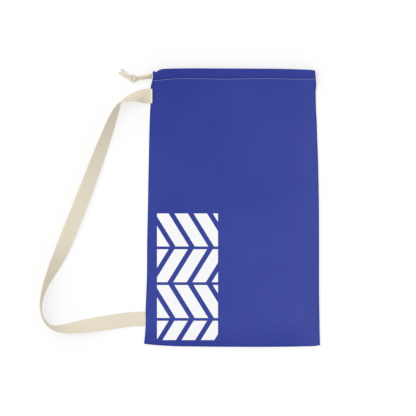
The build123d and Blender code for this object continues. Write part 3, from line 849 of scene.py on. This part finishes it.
# Near the upper sewn end the soft webbing leans sooner, and lies a little off the route. By
# distance to the left of X = 0: its lean in degrees, and its shift in Y.
SOFT_LEAN = [(219, 0), (223, 1), (227, 3), (231, 5.5), (235, 9), (239, 14), (243, 20), (247, 26.5),
             (251, 33), (257.5, 42), (263, 48.5), (268.3, 54.5), (274, 60.5), (279, 65),
             (285, 69.5), (290, 74), (294, 79)]
SHIFT_Y = [(220, 0), (234, -0.3), (247, -0.5), (268, 0), (290, 0.9), (299, 2.2), (312, 1.3),
           (330, 0)]
SOFT_UNTIL, UPPER_PART = 292, 200          # where the route's own lean takes over: -X, and Y
SPAN_RISE = 5.0            # the long side spans between its two ends that stand on edge


def gone_span(y):
    """Share of the way down the long side, from the upper turn to the lower one."""
    return (240 - y) / 470


def on_under_layer(x):
    """Added height where the strap's upper end climbs on to the layer sewn under it."""
    return WEBBING * ease((x + 256) / 20)


def strap_line(step):
    """Middle line, lean and thickness share of the whole strap, sewn ends included. The middle
    is half a width times the lean's sine above the edge that rests on the table."""
    route = STRAP_ROUTE + [HINGE_X, 0, 0]
    gone = gone_along(route[:, :2])
    at = np.linspace(0, gone[-1], int(gone[-1] / step))
    x, y, lean = (follow(np.c_[gone, route[:, k]], at) for k in range(3))
    early = (x > -SOFT_UNTIL) & (y > UPPER_PART)
    lean = np.where(early, follow(SOFT_LEAN, -x), np.clip(lean, 0, 180))
    y = y + follow(SHIFT_Y, -x) * (y > UPPER_PART)
    upper = np.array([-215.75, -215.95, -216.4, -217.2, -219, -222, -225, -228, -231, -233.5,
                      -236, -238.5, -241, -243.5, -245.5])
    lower = np.array([-245.5, -242, -238, -234, -230, -226, -223])
    parts = [(upper, STRAP_UPPER_Y + follow(SHIFT_Y, -upper), follow(SOFT_LEAN, -upper)),
             (x, y, lean), (lower, 0 * lower + STRAP_LOWER_Y, 0 * lower + 180)]
    x, y, lean = [np.concatenate(column) for column in zip(*parts)]
    lean = np.radians(lean)
    z = STRAP_BASE + WEBBING_WIDTH / 2 * np.sin(lean) + WEBBING / 2 * np.abs(np.cos(lean))
    z += on_under_layer(x) * (y > 0)
    z += SPAN_RISE * np.sin(np.pi * np.clip(gone_span(y), 0, 1)) ** 2
    thick = np.ones_like(x)
    thick[:3] = 0.35, 0.7, 0.93
    return x, y, z, lean, thick


def webbing_section():
    """Closed outline of the webbing: both faces ribbed, a small half-circle at each edge."""
    half, thick = WEBBING_WIDTH / 2, WEBBING / 2
    flat = half - thick * 0.8
    a = np.linspace(flat, -flat, 84)
    rib = thick - RIB_DEPTH + RIB_DEPTH * np.abs(np.cos(np.pi * a * MM / RIB))
    round_it = np.linspace(np.pi / 2, -np.pi / 2, 7)[1:-1]
    out = half - thick * 0.8 * (1 - np.cos(round_it))
    edge = np.stack([out, (thick - 0.05) * np.sin(round_it)], 1)
    top = np.stack([a, rib], 1)
    return np.concatenate([top, edge * [-1, 1], -top, edge * [1, -1]])


def webbing_mesh(name, x, y, z, lean, thick):
    """The section set square to the line at every station: across leans by the given angle."""
    section = webbing_section()
    ahead = unit(np.stack([np.gradient(x), np.gradient(y), 0 * x], axis=1))
    right = np.cross(ahead, [0, 0, 1.0])
    sway = 0.16 * np.sin(np.arange(len(x)) / 2.3) + 0.1 * np.sin(np.arange(len(x)) / 0.9)
    across = right * np.cos(lean)[:, None] - np.outer(np.sin(lean), [0, 0, 1.0])
    face = np.cross(across, ahead)
    middle = np.stack([x, y, z], axis=1)
    points = (middle[:, None] + across[:, None] * section[None, :, :1]
              * (1 + sway[:, None, None] / WEBBING_WIDTH)
              + face[:, None] * section[None, :, 1:] * thick[:, None, None])
    gone, around = gone_along(middle), gone_along(section)
    around = np.r_[around, around[-1] + 0.3]
    piece = tube_object(name, points * MM, gone * MM, around * MM, webbing_cotton)
    print(f"{name}: {gone[-1]:.0f} mm long, {len(piece.data.polygons)} faces")
    return piece


strap = webbing_mesh("shoulder_strap_webbing", *strap_line(4.0))
under_x = np.linspace(-235.0, -221.6, 8)
under_layer = webbing_mesh("strap_under_layer", under_x, 0 * under_x + STRAP_UPPER_Y,
                           0 * under_x + STRAP_BASE + WEBBING / 2, 0 * under_x + np.pi,
                           0 * under_x + 1)
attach(under_layer, "bag")
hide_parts("strap_upper_end")
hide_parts("shoulder_strap", "strap_upper_end", "strap_lower_end")
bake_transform(strap)

# %% Folded strip at the strap's upper end
def folded_strip():
    """Half-oval section, 3.4 mm wide and 0.9 mm high, carried across the strap, ends rounded."""
    y = np.r_[-19.4, -19.35, -19.2, np.linspace(-18.8, 18.8, 60), 19.2, 19.35, 19.4]
    grow = np.sqrt(np.clip(1 - (np.abs(y) / 19.42) ** 60, 0.002, 1))
    angle = np.linspace(0, 2 * np.pi, 17)[:-1]
    wander = 0.1 * np.sin(y / 2.3) + 0.06 * np.sin(y * 1.9)
    x = -217.5 + wander[:, None] + 1.75 * np.cos(angle)[None] * grow[:, None]
    z = 5.45 + np.where(np.sin(angle) > 0, 0.75, 0.3)[None] * np.sin(angle)[None] * grow[:, None]
    points = np.stack([x, STRAP_UPPER_Y + y[:, None] + 0 * x, z], axis=-1)
    around = np.arange(17) * 0.35
    piece = tube_object("strap_end_fold", points * MM, y * MM, around * MM, strap_fold_highlight_finish,
                        flip=True)
    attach(piece, "bag")
    return piece


# The strip is a lighter cream than the webbing: a painted highlight on the fold.
strap_fold_highlight_finish = thread_finish("strap_fold", srgb(228, 221, 198), srgb(250, 246, 228))
strap_fold = folded_strip()
print("folded strip:", len(strap_fold.data.polygons), "faces")

# %% [markdown]
# ## Thread
#
# Stitches are small arched capsules laid along a line, one after another. The hem has one row
# along the bottom of its tunnel. The strap's doubled end is sewn with a box and a cross.
# %% Stitch rows
def stitch_row(name, lines, up, pitch, reach, thread, finish):
    """Capsules along each line: height (1 - a^2) over the cloth, radius closing at both ends."""
    a = np.linspace(-1, 1, 9)
    ahead = (a * reach / 2)[:, None]
    angle = np.arange(8) * np.pi / 4
    radius = thread / 2 * np.sqrt(1.02 - a ** 4)
    arch = thread * (0.35 * (1 - a * a) - 0.1)
    points = []
    for line in lines:
        line = np.array(line, float)
        gone = gone_along(line)
        count = max(int(gone[-1] / pitch), 1)
        middle = (np.arange(count) + 0.5) * gone[-1] / count
        spot = [np.stack([np.interp(middle + d, gone, line[:, k]) for k in range(3)], 1)
                for d in (-reach / 2, 0, reach / 2)]
        tangent = unit(spot[2] - spot[0])
        side = unit(np.cross(np.array(up, float), tangent))
        over = np.cross(tangent, side)
        shape = [ahead + 0 * angle, radius[:, None] * np.cos(angle),
                 arch[:, None] + radius[:, None] * np.sin(angle)]
        ring = spot[1][:, None, None] + sum(way[:, None, None] * amount[None, ..., None]
                                            for way, amount in zip((tangent, side, over), shape))
        points.append(ring.reshape(-1, 3))
    points = np.concatenate(points)
    number = len(points) // 72
    one = np.stack(np.broadcast_arrays(ahead, np.arange(9) * thread * 0.4), -1)
    uv = np.tile(one.reshape(-1, 2), (number, 1))
    each = np.arange(number)[:, None, None]
    faces = (grid_faces(9, 8, ring=True)[None] + 72 * each).reshape(-1, 4)
    uv_faces = (grid_faces(9, 9)[None] + 81 * each).reshape(-1, 4)
    ends = np.concatenate([72 * np.arange(number)[:, None] + np.arange(7, -1, -1),
                           72 * np.arange(number)[:, None] + np.arange(64, 72)])
    piece = mesh_object(name, points * MM, faces, uv[uv_faces.ravel()] * MM, ends.tolist())
    piece.data.materials.append(finish)
    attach(piece, "bag")
    print(f"{name}: {number} stitches")
    return piece


hem_x = np.linspace(-211.0, 225.0, 220)
hem_y = follow(STITCH_LINE, hem_x) - 0.35
from_right = follow(RIGHT_EDGE, hem_y) - hem_x
front_z = MID_HEIGHT + (STITCH_HEIGHT - MID_HEIGHT) * closing(from_right)
back_z = np.maximum(0.9, (MID_HEIGHT - 0.05) * (1 - closing(from_right)))
front_stitches = stitch_row("front_hem_stitches", [np.c_[hem_x, hem_y, front_z + 0.12]],
                            (0, 0, 1), 3.1, 2.6, 0.62, hem_thread)
back_stitches = stitch_row("back_hem_stitches", [np.c_[hem_x, hem_y, back_z - 0.12]],
                           (0, 0, -1), 3.1, 2.7, 0.7, hem_thread)
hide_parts("front_hem_thread")
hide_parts("back_hem_thread")

# %% Box stitch on the strap
BOX_X = (-231.2, -218.4)
BOX_Y = (STRAP_UPPER_Y - 17.2, STRAP_UPPER_Y + 17.2)
corners = [(BOX_X[0], BOX_Y[0]), (BOX_X[1], BOX_Y[0]), (BOX_X[1], BOX_Y[1]), (BOX_X[0], BOX_Y[1])]


def on_webbing(start, end):
    """Straight line in plan between two corners, on the top face of the leaning webbing."""
    x, y = np.linspace(start, end, 24).T
    lean = np.radians(follow(SOFT_LEAN, -x))
    middle = STRAP_BASE + WEBBING_WIDTH / 2 * np.sin(lean) + on_under_layer(x)
    top = middle + WEBBING / 2 * np.cos(lean) + WEBBING / 2 / np.cos(lean)
    return np.stack([x, y, top + (STRAP_UPPER_Y - y) * np.tan(lean) - 0.05], axis=1)


sides = [(0, 1), (1, 2), (2, 3), (3, 0), (0, 2), (1, 3)]
box_lines = [on_webbing(corners[i], corners[k]) for i, k in sides]
box_stitches = stitch_row("strap_box_stitches", box_lines, (0, 0, 1), 2.9, 2.4, 0.75,
                          strap_thread)
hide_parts("strap_upper_thread")

# %% [markdown]
# ## Small parts that stay from the CAD model
#
# The overlock thread on the seam allowances and the row across the strap's lower end are inside
# the bag. Their CAD shapes are right, so they only get a finish, on object coordinates.
# %% Finish of the inner threads
def inner_thread(name):
    """Looping overlock thread, a wave pattern on object coordinates."""
    material, tree, shader = new_material(name)
    shader.inputs["Roughness"].default_value = 0.7
    place = node(tree, "SeparateXYZ", {0: node(tree, "TexCoord").outputs["Object"]})
    loop = waves(tree, calc(tree, "ADD", place.outputs[0], place.outputs[1]), 0.0022)
    colour = blend_colour(tree, loop, srgb(190, 190, 200), srgb(240, 240, 244))
    add_looks(tree, shader, colour, loop, 0.0002, 0.6)
    return material


overlock = inner_thread("overlock_thread")
for name in ("left_seam_thread", "right_seam_thread", "base_seam_thread", "strap_lower_thread"):
    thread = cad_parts[name]
    thread.data.materials.clear()
    thread.data.materials.append(overlock)
print("inner threads finished")

# %% [markdown]
# ## Table and light
#
# The table is a plain pale sheet that goes on far beyond the view. It glows a little, like a light
# table, so that shadows on it stay faint. The sun stands to the left, a little towards the mouth,
# and an even white sky fills the shadows. The sun is wide, so that the strap's shadow fades out
# within a few centimetres. No small lamp was used, because its light would fall off across the bag.
# %% Stage
TABLE_GREY = 0.40
TABLE_GLOW = 0.55


def pale_table():
    """Flat sheet, 12 m wide, just under the bag."""
    reach = np.linspace(-6, 6, 9)
    x, y = np.meshgrid(reach, reach)
    points = np.stack([x, y, 0 * x - 0.0004], axis=-1)
    piece = mesh_object("table", points, grid_faces(9, 9))
    material, _, shader = new_material("pale_table")
    shader.inputs["Base Color"].default_value = (TABLE_GREY, TABLE_GREY, 0.402, 1)
    shader.inputs["Roughness"].default_value = 0.9
    shader.inputs["Emission Color"].default_value = (1, 1, 1, 1)
    shader.inputs["Emission Strength"].default_value = TABLE_GLOW
    piece.data.materials.append(material)
    return piece


table = pale_table()
SUN = 1.18
SUN_WIDTH, SUN_TILT = 70, (-13, -35, 0)    # degrees
SKY = 0.80
sun_data = bpy.data.lights.new("sun", "SUN")
sun_data.energy = SUN
sun_data.angle = math.radians(SUN_WIDTH)
sun = bpy.data.objects.new("sun", sun_data)
sun.rotation_euler = [math.radians(turn) for turn in SUN_TILT]
bpy.context.scene.collection.objects.link(sun)
world = bpy.data.worlds.new("sky")
bpy.context.scene.world = world
world.use_nodes = True
world.node_tree.nodes["Background"].inputs[0].default_value = (1, 1, 1, 1)
world.node_tree.nodes["Background"].inputs[1].default_value = SKY
bpy.context.scene.view_settings.view_transform = "Standard"
print("sun", SUN, "sky", SKY)
